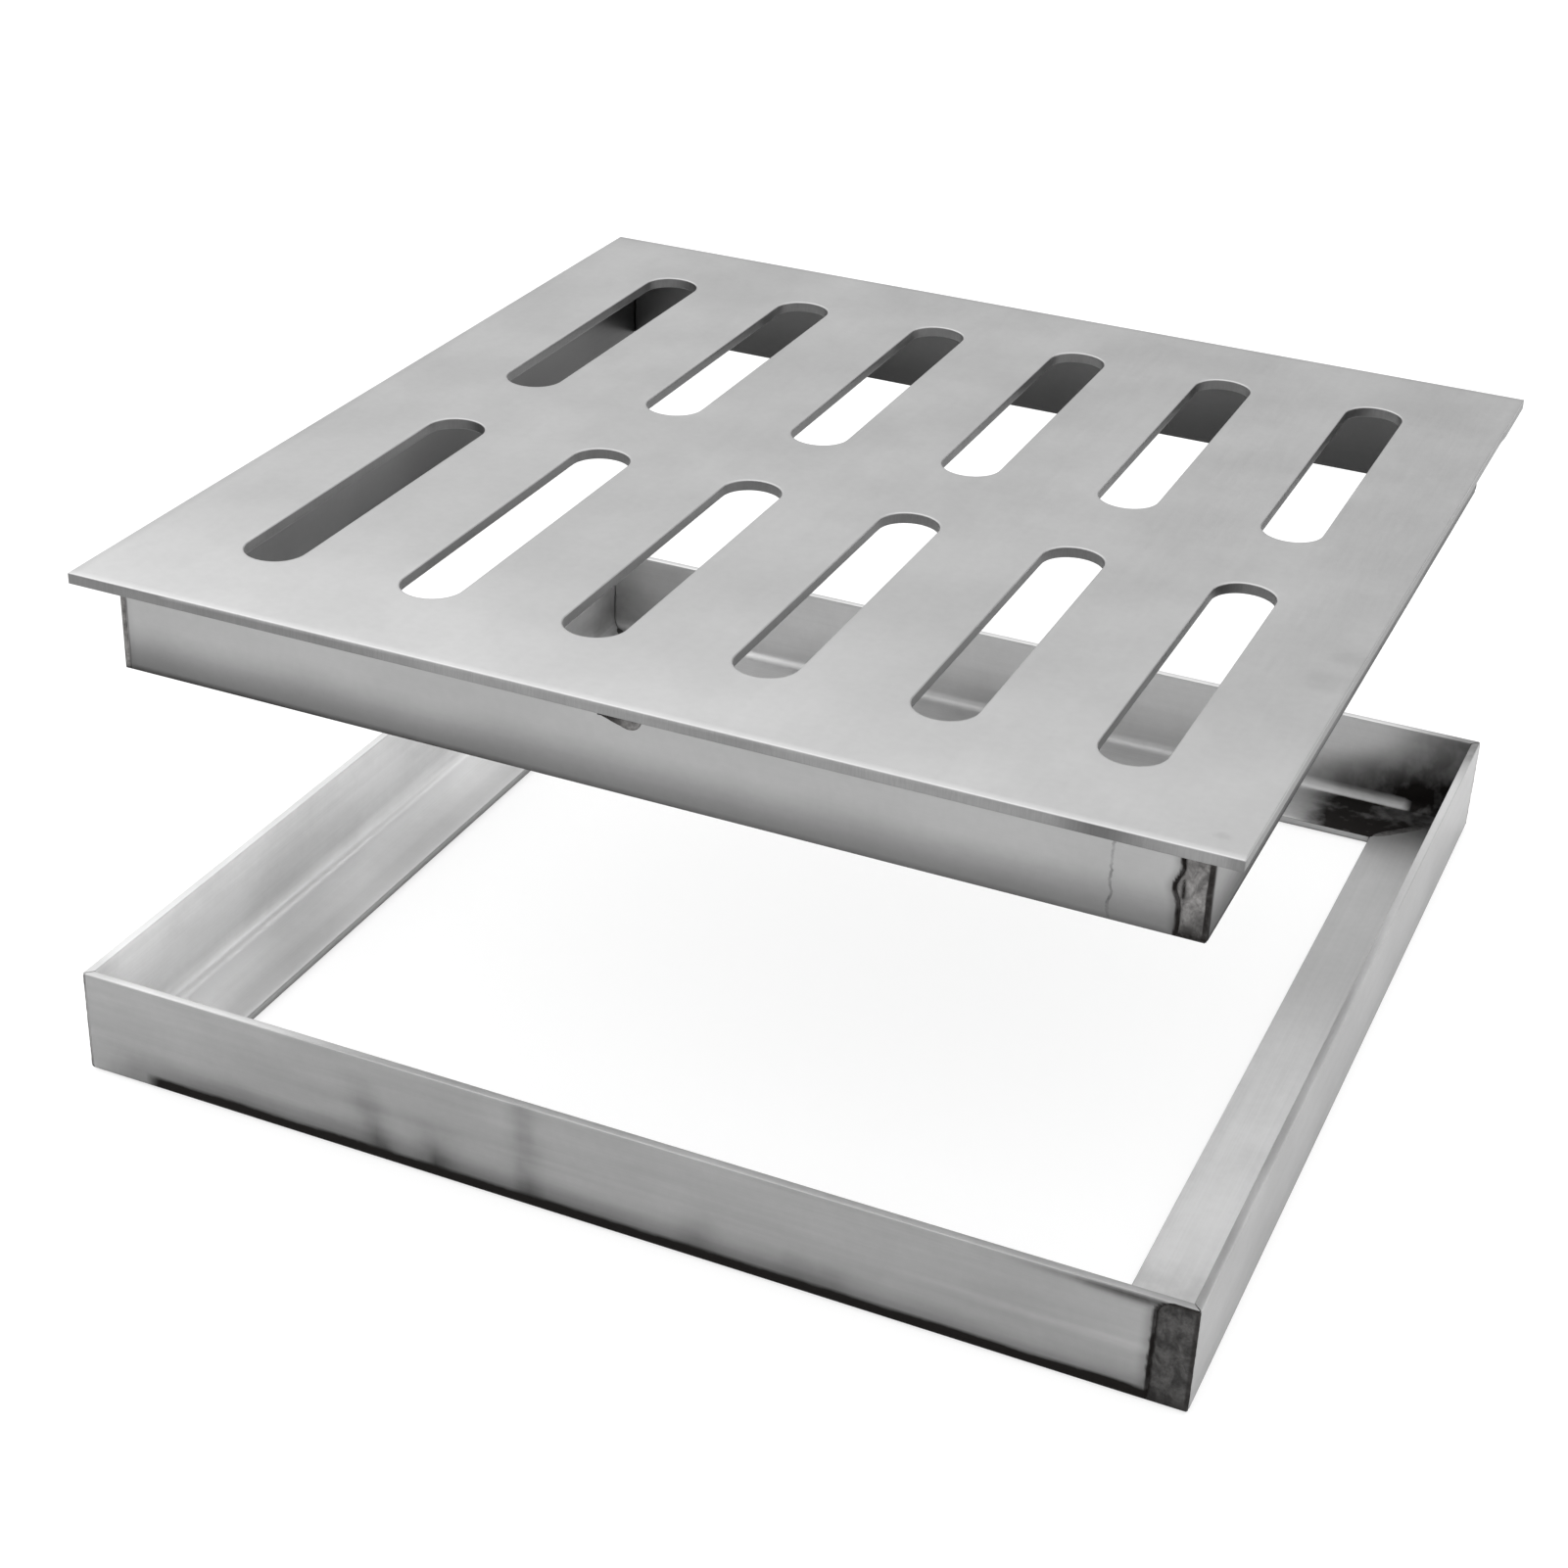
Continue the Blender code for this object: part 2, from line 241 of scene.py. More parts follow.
class Nodes:
    """Short calls for a material's nodes. A value is a number, a tuple or another node's socket."""

    def __init__(self, name):
        self.material = bpy.data.materials.new(name)
        self.material.use_nodes = True
        self.tree = self.material.node_tree
        self.shader = self.tree.nodes["Principled BSDF"]

    def link(self, source, socket):
        if isinstance(source, (int, float, tuple)):
            socket.default_value = source
        else:
            self.tree.links.new(source, socket)

    def math(self, operation, a, b=0.0, clamp=False):
        node = self.tree.nodes.new("ShaderNodeMath")
        node.operation = operation
        node.use_clamp = clamp
        self.link(a, node.inputs[0])
        self.link(b, node.inputs[1])
        return node.outputs[0]

    def remap(self, value, low, high, out_low=0.0, out_high=1.0):
        node = self.tree.nodes.new("ShaderNodeMapRange")
        node.interpolation_type = "SMOOTHSTEP"
        for socket, source in zip(node.inputs, (value, low, high, out_low, out_high)):
            self.link(source, socket)
        return node.outputs[0]

    def place(self, scale, offset):
        """The piece's own coordinates, scaled and shifted."""
        coords = self.tree.nodes.new("ShaderNodeTexCoord")
        node = self.tree.nodes.new("ShaderNodeMapping")
        node.inputs["Scale"].default_value = scale
        node.inputs["Location"].default_value = offset
        self.tree.links.new(coords.outputs["Object"], node.inputs["Vector"])
        return node.outputs[0]

    def noise(self, size_mm, seed, detail=2.0, roughness=0.5, distortion=0.0):
        """Noise with features about this long on each axis, in millimetres. About 0 to 1."""
        node = self.tree.nodes.new("ShaderNodeTexNoise")
        scale = tuple(1 / (s * MM) for s in size_mm)
        vector = self.place(scale, (seed * 7.3, seed * 3.1, seed * 5.7))
        self.tree.links.new(vector, node.inputs["Vector"])
        node.inputs["Scale"].default_value = 1.0
        node.inputs["Detail"].default_value = detail
        node.inputs["Roughness"].default_value = roughness
        node.inputs["Distortion"].default_value = distortion
        return node.outputs[0]

    def mask(self, name):
        """A value painted on the mesh's points."""
        node = self.tree.nodes.new("ShaderNodeAttribute")
        node.attribute_name = name
        return node.outputs["Fac"]

    def mix(self, factor, a, b):
        node = self.tree.nodes.new("ShaderNodeMix")
        node.data_type = "RGBA"
        self.link(factor, node.inputs["Factor"])
        self.link(a, node.inputs["A"])
        self.link(b, node.inputs["B"])
        return node.outputs["Result"]

    def grey(self, level, tint=(1.0, 1.0, 1.0)):
        node = self.tree.nodes.new("ShaderNodeCombineColor")
        for socket, share in zip(node.inputs, tint):
            self.link(self.math("MULTIPLY", level, share), socket)
        return node.outputs[0]

    def bump(self, height, depth_mm, normal=None):
        node = self.tree.nodes.new("ShaderNodeBump")
        node.inputs["Strength"].default_value = 1.0
        node.inputs["Distance"].default_value = depth_mm * MM
        self.link(height, node.inputs["Height"])
        if normal is not None:
            self.tree.links.new(normal, node.inputs["Normal"])
        return node.outputs[0]

    def finish(self, colour, roughness, normal):
        self.shader.inputs["Metallic"].default_value = 1.0
        self.tree.links.new(colour, self.shader.inputs["Base Color"])
        self.tree.links.new(roughness, self.shader.inputs["Roughness"])
        self.tree.links.new(normal, self.shader.inputs["Normal"])
        return self.material


# The black of burnt steel, also used for painted shadow along bottom edges
SOOT_AND_PAINTED_SHADOW_COLOUR = (0.022, 0.020, 0.019, 1.0)


def steel(
    name, level, roughness, seed, grain=(60.0, 0.5, 0.5), streak=0.025, cloud=0.05, marks=(), seams=()
):
    """Rolled or brushed stainless: grain along one axis, clouds, scuffs, tone from its mask, much of it
    painted light and shade, and black from its burn mask, which also carries painted shadow.
    """
    n = Nodes(name)
    fine = n.noise(grain, seed, detail=3.0, roughness=0.6)
    wide = n.noise(tuple(g * 6 for g in grain), seed + 1, detail=2.0)
    clouds = n.noise((38.0, 38.0, 30.0), seed + 2, detail=3.0, roughness=0.55)
    specks = n.noise((2.2, 2.2, 2.2), seed + 3, detail=2.0)
    shade = n.math("ADD", 1.0, n.mask("tone"))
    shade = n.math("MULTIPLY", shade, n.remap(fine, 0.3, 0.7, 1 - streak, 1 + streak))
    shade = n.math("MULTIPLY", shade, n.remap(wide, 0.3, 0.7, 1 - streak, 1 + streak))
    shade = n.math("MULTIPLY", shade, n.remap(clouds, 0.3, 0.7, 1 - cloud, 1 + cloud))
    shade = n.math("MULTIPLY", shade, n.remap(specks, 0.25, 0.75, 0.985, 1.015))
    for x, y, z, reach, amount in marks:
        shade = n.math("MULTIPLY", shade, scuff(n, (x, y, z), reach, amount, seed))
    for seam in seams:
        shade = n.math("MULTIPLY", shade, hairline(n, *seam, seed))
    colour = n.grey(n.math("MULTIPLY", shade, level))
    broken = n.noise((4.5, 4.5, 6.0), seed + 4, detail=3.0, roughness=0.5)
    soot = n.math("MULTIPLY", n.mask("soot"), n.remap(broken, 0.3, 0.65, 0.88, 1.10), clamp=True)
    colour = n.mix(soot, colour, SOOT_AND_PAINTED_SHADOW_COLOUR)
    gloss = n.remap(clouds, 0.3, 0.7, roughness - 0.03, roughness + 0.03)
    gloss = n.math("ADD", gloss, n.remap(fine, 0.3, 0.7, -0.02, 0.02))
    gloss = n.math("ADD", gloss, n.math("MULTIPLY", soot, 0.25))
    normal = n.bump(fine, 0.006)
    normal = n.bump(n.math("MULTIPLY", broken, soot), 0.05, normal)
    return n.finish(colour, gloss, normal)


def scuff(n, centre, reach, amount, seed):
    """A factor that is 1 away from a spot and 1 + amount in it, with a broken edge."""
    coords = n.tree.nodes.new("ShaderNodeTexCoord")
    away = n.tree.nodes.new("ShaderNodeVectorMath")
    away.operation = "DISTANCE"
    n.tree.links.new(coords.outputs["Object"], away.inputs[0])
    away.inputs[1].default_value = tuple(c * MM for c in centre)
    ragged = n.noise((reach * 0.8,) * 3, seed + 5, detail=3.0, roughness=0.65)
    distance = n.math("ADD", away.outputs["Value"], n.math("MULTIPLY", ragged, reach * MM))
    return n.remap(distance, reach * 0.7 * MM, reach * 1.6 * MM, 1 + amount, 1.0)


def hairline(n, x, wide, low, high, amount, seed):
    """A factor that is 1 + amount along a thin wandering upright line, and 1 elsewhere."""
    coords = n.tree.nodes.new("ShaderNodeTexCoord")
    split = n.tree.nodes.new("ShaderNodeSeparateXYZ")
    n.tree.links.new(coords.outputs["Object"], split.inputs[0])
    wander = n.math("SUBTRACT", n.noise((40.0, 40.0, 5.0), seed + 6, detail=4.0), 0.5)
    middle = n.math("ADD", n.math("MULTIPLY", wander, 5.0 * MM), x * MM)
    away = n.math("ABSOLUTE", n.math("SUBTRACT", split.outputs[0], middle))
    line = n.remap(away, wide * 0.4 * MM, wide * MM, 1.0, 0.0)
    faint = n.remap(n.noise((2.0, 2.0, 3.0), seed + 7), 0.35, 0.6, 0.35, 1.0)
    line = n.math("MULTIPLY", line, faint)
    line = n.math("MULTIPLY", line, n.remap(split.outputs[2], low * MM, (low + 2) * MM))
    line = n.math("MULTIPLY", line, n.remap(split.outputs[2], high * MM, (high - 3) * MM))
    return n.math("ADD", 1.0, n.math("MULTIPLY", line, amount))


def weld_metal(name, level, seed):
    """Weld metal and the burnt steel round it: mottled dark grey, black in its outline."""
    n = Nodes(name)
    blotches = n.noise((3.0, 3.0, 4.0), seed, detail=4.0, roughness=0.6, distortion=0.6)
    pits = n.noise((0.9, 0.9, 0.9), seed + 1, detail=3.0, roughness=0.6)
    shade = n.remap(blotches, 0.3, 0.72, level * 0.62, level * 1.45)
    shade = n.math("MULTIPLY", shade, n.remap(pits, 0.25, 0.7, 0.8, 1.12))
    shade = n.math("MULTIPLY", shade, n.math("ADD", 1.0, n.mask("tone")))
    colour = n.grey(shade, (1.0, 0.975, 0.96))
    soot = n.math("MULTIPLY", n.mask("soot"), n.remap(pits, 0.2, 0.6, 0.8, 1.1), clamp=True)
    colour = n.mix(soot, colour, SOOT_AND_PAINTED_SHADOW_COLOUR)
    gloss = n.remap(blotches, 0.3, 0.7, 0.62, 0.46)
    normal = n.bump(blotches, 0.10)
    normal = n.bump(pits, 0.05, normal)
    return n.finish(colour, gloss, normal)


def cut_edge(name, level, seed, grain=(0.35, 0.35, 4.0)):
    """A sheared or laser-cut edge: dull and darker, with fine lines across the sheet."""
    n = Nodes(name)
    lines = n.noise(grain, seed, detail=3.0, roughness=0.6)
    stains = n.noise((9.0, 9.0, 5.0), seed + 1, detail=2.0)
    shade = n.remap(lines, 0.3, 0.7, level * 0.95, level * 1.05)
    shade = n.math("MULTIPLY", shade, n.remap(stains, 0.3, 0.7, 0.92, 1.08))
    shade = n.math("MULTIPLY", shade, n.math("ADD", 1.0, n.mask("tone")))
    gloss = n.remap(stains, 0.3, 0.7, 0.44, 0.56)
    return n.finish(n.grey(shade), gloss, n.bump(lines, 0.012))


# ---------------------------------------------------------------- weld patches


class Patch:
    """A corner weld's two wings, and the recess and burnt line that the bars have round it.

    Wing 0 is on the right end of the corner's own side, wing 1 on the left end of the next side.
    """

    def __init__(self, widths, low, high, seed, crown=2.4, burn=1.0, loop=0.0):
        self.widths, self.low, self.high = widths, low, high
        self.seed, self.crown, self.burn, self.loop = seed, crown, burn, loop

    def swell(self, wing, z):
        """How far the loop at half height pushes out the first wing's outline."""
        return 0.0 if wing else self.loop * bump(z, (self.low + self.high) / 2, 2.6)

    def width(self, wing, z):
        """How far the wing reaches from the corner at this height."""
        full = self.widths[wing]
        wobble = 0.35 * min(1.0, full / 5) * rough_noise(z * 0.35, self.seed, wing * 4.0, 2)
        rise = max(0.0, (z - (self.high - self.crown)) / self.crown)
        lost = self.crown * (1 - sqrt(max(0.0, 1 - min(1.0, rise) ** 2)))
        return max(0.4, full + wobble - lost * min(1.0, full / 5)) + self.swell(wing, z)

    def beyond(self, wing, from_corner, z):
        """Distance outside the wing's outline; negative inside it."""
        return from_corner - self.width(wing, z)


def patch_depth(patch, wing, half, x_end, z):
    """How deep the bar's outer face is recessed for the weld."""
    outside = patch.beyond(wing, half - x_end, z)
    return RECESS * (1 - smooth(0.05, 0.55, outside))


def patch_soot(patch, wing, half, x_end, z, reach):
    """The burnt line round the weld, and the fainter stain beyond it."""
    outside = patch.beyond(wing, half - x_end, z)
    line = 1 - smooth(0.25, reach, abs(outside - 0.1))
    halo = 0.35 * (1 - smooth(0.0, 3.5 * reach, outside))
    return patch.burn * max(line, halo, 0.8 if outside < 0 else 0.0)


def weld_spot(patch, wing, t, half, rounding, z):
    """Where a column of the weld's skin runs, which way is out, and how far its border is."""
    if wing == 2:
        angle = -pi / 2 + t * pi / 2
        out = Vector((cos(angle), sin(angle)))
        return Vector((half - rounding, -half + rounding)) + out * rounding, out, 1.0
    run = rounding + t * (patch.width(wing, z) - rounding)
    spot = Vector((half - run, -half)) if wing == 0 else Vector((half, -half + run))
    out = Vector((0, -1)) if wing == 0 else Vector((1, 0))
    return spot, out, patch.width(wing, z) - run


def weld_soot(patch, wing, t, border, ends, z, dark_edges):
    """How black the weld is: in its outline, low down, round its loop and round the corner."""
    line = max(1 - smooth(0.15, 1.0, border), 1 - smooth(0.1, 1.1, ends))
    line = max(line, dark_edges * bump(z, patch.low, 3.0))
    if patch.loop and wing == 0:
        eye = bump(border, patch.swell(wing, z) + 0.6, 0.45)
        line = max(line, eye * smooth(0.3, 0.9, patch.swell(wing, z)))
    if wing != 0 or t < dark_edges * 0.11:
        line = max(line, 0.85 * dark_edges)
    return min(1.0, line * patch.burn)


def skin_faces(rows, n, total):
    """The faces of a closed skin: rows + 1 by n outer points, and as many inner ones after them."""
    faces = []
    for r in range(rows):
        for c in range(n - 1):
            a, b = r * n + c, r * n + c + 1
            faces.append((a, b, b + n, a + n))
            faces.append((total + a + n, total + b + n, total + b, total + a))
        for c, flip in ((0, False), (n - 1, True)):
            a = r * n + c
            quad = (a, a + n, total + a + n, total + a)
            faces.append(quad[::-1] if flip else quad)
    for r, flip in ((0, False), (rows, True)):
        for c in range(n - 1):
            a = r * n + c
            quad = (a, total + a, total + a + 1, a + 1)
            faces.append(quad[::-1] if flip else quad)
    return faces


def corner_weld(patch, half, rounding, dark_edges):
    """The weld as a thin closed skin that wraps the front right corner.

    A column is (wing, share of the wing's width), with 2 for the rounded corner between the wings.
    """
    wide, round_corner, narrow = 22, 6, 5
    columns = [(0, 1 - k / wide) for k in range(wide + 1)]
    columns += [(2, k / round_corner) for k in range(1, round_corner)]
    columns += [(1, k / narrow) for k in range(narrow + 1)]
    rows = max(8, round((patch.high - patch.low) / 0.6))
    outer, inner, soot = [], [], []
    for r in range(rows + 1):
        z = patch.low + (patch.high - patch.low) * r / rows
        ends = min(z - patch.low, patch.high - z)
        for wing, t in columns:
            spot, out, border = weld_spot(patch, wing, t, half, rounding, z)
            edge = smooth(0.0, 0.7, border) * smooth(-0.2, 0.6, ends)
            ripple = rough_noise(spot.x * 0.5, spot.y * 0.5 + patch.seed, z * 0.6, 3)
            drop = 0.10 + 0.09 * ripple + 0.5 * (1 - edge)
            outer.append((*(spot - out * max(0.02, drop)), z))
            inner.append((*(spot - out * WELD_SKIN), z))
            soot.append(weld_soot(patch, wing, t, border, ends, z, dark_edges))
    total = len(outer)
    faces = skin_faces(rows, len(columns), total)
    return outer + inner, faces, {"soot": soot * 2, "tone": [0.0] * (2 * total)}


# ---------------------------------------------------------------- the frame


FRAME_PATCHES = (
    Patch((10.2, 0.7), 0.5, HEIGHT - 0.15, 3.0, crown=4.0),
    Patch((0.7, 9.0), 0.5, HEIGHT - 0.15, 17.0, burn=0.5),
    Patch((8.5, 0.7), 0.5, HEIGHT - 0.15, 29.0, burn=0.6),
    Patch((9.0, 0.5), 0.5, HEIGHT - 0.15, 41.0, burn=0.15),
)
# How burnt each corner is inside, and how much painted shade darkens each side's outer face, front first
INNER_BURN = (0.25, 1.0, 0.35, 0.25)
OUTER_SHADE = (0.36, 0.22, 0.10, 0.10)
# Smudges on the front rail: middle, half-width, strength, how high they reach, and lean
SMUDGES = (
    (-64.0, 4.5, 0.22, 24.0, -0.30),
    (-46.0, 5.5, 0.22, 17.0, -0.15),
    (-20.0, 3.4, 0.22, 34.0, -0.05),
    (27.0, 5.0, 0.14, 16.0, 0.0),
    (57.0, 12.0, 0.12, 14.0, 0.0),
    (-140.0, 7.0, 0.10, 12.0, 0.0),
)


def rail_section():
    """The angle: wall outside, bend below, ledge inside."""
    corners = [
        (0.0, HEIGHT, EDGE),
        (0.0, 0.0, BEND_OUT),
        (LEDGE, 0.0, EDGE),
        (LEDGE, SHEET, EDGE),
        (SHEET, SHEET, BEND_IN),
        (SHEET, HEIGHT, EDGE),
    ]
    return rounded_section(corners, (0.75, 2.2, 1.0, 1.1, 1.1, 0.8))


def rail_depth(side):
    """How wavy the rail is, with the recesses for its two corner welds."""
    right, left = FRAME_PATCHES[side], FRAME_PATCHES[side - 1]

    def depth(x, u, z, nu):
        wave = 0.05 * (1 + rough_noise(x * 0.012, u * 0.05 + side * 9.0, z * 0.05, 2))
        if nu < -0.6 and u < 1.0:
            wave += patch_depth(right, 0, HALF, x, z) + patch_depth(left, 1, HALF, -x, z)
        return wave

    return depth


def inner_burn(burn, away, u, z, before):
    """Heat stain inside a corner, at this distance from it; before is the rail whose right end it is."""
    if z > SHEET + BEND_IN:
        low = 1 - smooth(5.0, 27.0, z)
        reach = 8 + (20 + 42 * low) * burn
        return burn * (0.58 + 0.48 * low) * (1 - smooth(0.12 * reach, reach, away))
    if z < SHEET - 0.3:
        return 0.0
    if z > SHEET + 0.25:
        return burn * max(0.30 * (1 - smooth(25, 55, away)), 1 - smooth(14, 18, away))
    if before:
        return 0.85 * burn * (1 - smooth(3, 24, away))
    patchy = 1.0 + 0.35 * rough_noise(away * 0.07, u * 0.09, 6.0, 1)
    return burn * min(1.05, patchy) * (1 - smooth(34, 54, away))


def front_smudges_and_painted_shadow(x, z, wander):
    """The front rail's face: painted shadow as a black strip along its bottom with painted shade fading
    up from it, smudges above, and a dark line under the top edge by the weld.
    """
    # painted shadow: a black strip along the bottom of the face
    strip = 1 - smooth(3.0 + 0.3 * wander, 4.5 + 0.4 * wander, z)
    near_patch = smooth(95, 140, x)
    under_edge = bump(z, HEIGHT - 1.2, 0.6 + 0.8 * near_patch) * near_patch
    soot = max(1.2 * strip * smooth(-133, -128, x), 0.8 * under_edge)
    tone = 0.0
    # painted shade, darker towards the bottom
    low = 1 - smooth(2, 12 + 2 * wander, z)
    tone -= 0.36 * low * smooth(-150, -112, x) * (1 - 0.35 * smooth(20, 120, x))
    for centre, wide, amount, top, slant in SMUDGES:
        lean = centre + slant * (z - 12)
        ragged = 0.75 + 0.5 * rough_noise(x * 0.2, centre, z * 0.1, 3)
        tone -= amount * bump(x, lean, wide) * ragged * (1 - smooth(top - 8, top + 4, z))
    tone += 0.05 * rough_noise(x * 0.02, 2.0, z * 0.35, 3)
    tone += 0.07 * bump(z, 15.2 + 0.4 * wander, 0.6) * smooth(-45, -20, x)
    return soot, tone


def outer_paint(side, x, z):
    """Burn mask and tone of the rail's outer face: burn round the welds, painted shadow along its
    bottom, painted shade that differs from side to side, and the front's smudges.
    """
    right, left = FRAME_PATCHES[side], FRAME_PATCHES[side - 1]
    soot = max(patch_soot(right, 0, HALF, x, z, 1.1), patch_soot(left, 1, HALF, -x, z, 0.8))
    if x < HALF - 12:
        soot *= 1 - smooth(HALF - 14, HALF - 12, -x)
    if side == 0:
        darkening, tone = front_smudges_and_painted_shadow(x, z, rough_noise(x * 0.05, 7.0, side, 2))
    else:
        # painted shadow: the other sides' outer faces go black along the bottom
        darkening, tone = 0.5 * (1 - smooth(0.6, 2.2, z)), 0.0
    # OUTER_SHADE is painted shade, darker on some sides than others
    return max(soot, darkening), tone - OUTER_SHADE[side]


def wall_tone(side, z):
    """Tone of the rail's inner wall, painted light and shade; the left one has painted light from its
    bend up and a painted highlight along the bend.
    """
    if side == 3:
        tone = 0.03 + 0.30 * smooth(4, 14, z) + 0.12 * bump(z, 17, 6)
        return tone + 0.35 * bump(z, SHEET + 2.5, 3.4)
    return (0.10, 0.0, -0.10)[side] * smooth(4, 18, z) - (0.0, 0.0, 0.12)[side]


def inner_tone(side, x, u, z, nu):
    """Tone of the rail's inner wall, ledge edge, top edge and ledge, painted light and shade."""
    if nu > 0.6 and u < SHEET + 1 and z > SHEET + 1:
        return wall_tone(side, z)
    # painted shade on the ledge's inner edge
    if nu > 0.6 and u > LEDGE - 1:
        return -0.45
    # painted shade on the top edge
    if z > HEIGHT - 0.5:
        return (-0.12, -0.14, -0.05, 0.0)[side]
    # right ledge: painted light at its front end, painted shade towards the back
    if z > SHEET - 0.5 and side == 1:
        return 0.45 - 0.80 * smooth(-55, 50, x) + 0.15 * smooth(85, 125, x)
    # left ledge: painted highlight by the bend, painted shade further out
    if z > SHEET - 0.5 and side == 3:
        return 0.36 - 0.62 * smooth(9, 23, u) + 0.30 * bump(u, SHEET + 2.5, 3.2)
    return 0.0


def rail_paint(side):
    """Gives the burn mask and tone at a point of this side's rail; the burn mask also carries painted
    shadow, and the tone painted light and shade.
    """

    def paint(x, u, z, nu):
        if nu < -0.3 and u < 1.5:
            return outer_paint(side, x, z)
        soot = 0.0
        for patch_side, end in ((side, x), (side - 1, -x)):
            away = HALF - SHEET - end
            soot = max(soot, inner_burn(INNER_BURN[patch_side], away, u, z, side == patch_side))
        return soot, inner_tone(side, x, u, z, nu)

    return paint


def ledge_weld(seed):
    """The ground bead along the ledge's mitre at the front right corner."""
    outer = HALF - SHEET - BEND_IN
    inner = HALF - LEDGE + 0.8
    start, end = Vector((inner, -inner)), Vector((outer + 1.2, -outer - 1.2))
    along = end - start
    across = Vector((along.y, -along.x)).normalized()
    rows, columns = 64, 10
    points, faces = [], []
    for r in range(rows + 1):
        t = r / rows
        taper = sqrt(max(0.02, 1 - abs(2 * t - 1) ** 6))
        wide = 1.35 * taper * (1 + 0.12 * rough_noise(t * 9, seed, 0, 2))
        for c in range(columns + 1):
            v = 2 * c / columns - 1
            crown = (1 - v * v) * 0.16 * taper
            ripple = 0.035 * sin(t * 95 + 2.2 * v * v + seed) * (1 - v * v)
            spot = start + along * t + across * wide * v
            points.append((spot.x, spot.y, SHEET - 0.06 + crown + ripple))
    count = len(points)
    points += [(x, y, SHEET - 0.9) for x, y, _ in points]
    n = columns + 1
    for r in range(rows):
        for c in range(columns):
            a = r * n + c
            faces.append((a, a + n, a + n + 1, a + 1))
            faces.append((count + a + 1, count + a + n + 1, count + a + n, count + a))
        faces.append((r * n, count + r * n, count + r * n + n, r * n + n))
        b = r * n + columns
        faces.append((b + n, count + b + n, count + b, b))
    for c in range(columns):
        faces.append((c + 1, count + c + 1, count + c, c))
        b = rows * n + c
        faces.append((b, count + b, count + b + 1, b + 1))
    masks = {"soot": [0.25] * len(points), "tone": [0.0] * len(points)}
    return points, faces, masks


def build_rails():
    """The four angle rails, each of its own strip of steel."""
    section = rail_section()
    ends = stations(15.0, 0.4, 2.4, HALF)
    for side, name in enumerate(SIDES):
        metal = steel(f"frame_steel_{name}", 0.66, 0.40, 10.0 + side * 3.7, streak=0.02, cloud=0.06)
        points, faces, masks = bar_mesh(section, HALF, ends, rail_depth(side), rail_paint(side))
        nodes = (f"frame_rail_{name}",)
        make_piece(f"rail_{name}", points, faces, [metal], "frame", "frame_steel", nodes, side, masks)


def build_frame_welds(burnt, clean, ledge_bead):
    """At each corner the upright weld outside and the ground bead along the ledge's mitre."""
    for number, name in enumerate(CORNERS):
        patch = FRAME_PATCHES[number]
        metal = burnt if patch.burn == 1.0 else clean
        points, faces, masks = corner_weld(patch, HALF, 0.5, 0.6)
        piece = (f"corner_weld_{name}", points, faces, [metal])
        make_piece(*piece, "frame", "weld_steel", (f"frame_corner_weld_{name}",), number, masks)
        points, faces, masks = ledge_weld(number * 2.0)
        piece = (f"mitre_weld_{name}", points, faces, [ledge_bead])
        make_piece(*piece, "frame", "weld_steel", (f"ledge_weld_{name}",), number, masks)


def build_frame():
    burnt = weld_metal("frame_weld_metal", 0.085, 2.0)
    clean = weld_metal("frame_clean_weld_metal", 0.42, 3.0)
    ledge_bead = weld_metal("ledge_weld_metal", 0.16, 5.0)
    build_rails()
    build_frame_welds(burnt, clean, ledge_bead)


# ---------------------------------------------------------------- the grate


def edge_profile():
    """The plate's edge from top to bottom: (offset back, z, whether the strip below is edge)."""
    rows = []
    for k in range(5):
        a = k / 4 * pi / 2
        z = PLATE_TOP - PLATE_RIM * (1 - cos(a))
        rows.append((PLATE_RIM * (1 - sin(a)), z, 0 if k < 4 else 1))
    for k in range(1, 3):
        z = PLATE_TOP - PLATE_RIM - (PLATE_TOP - PLATE_BOTTOM - 2 * PLATE_RIM) * k / 3
        rows.append((0.0, z, 1))
    for k in range(5):
        a = k / 4 * pi / 2
        rows.append((PLATE_RIM * (1 - cos(a)), PLATE_BOTTOM + PLATE_RIM * (1 - sin(a)), 1))
    return rows


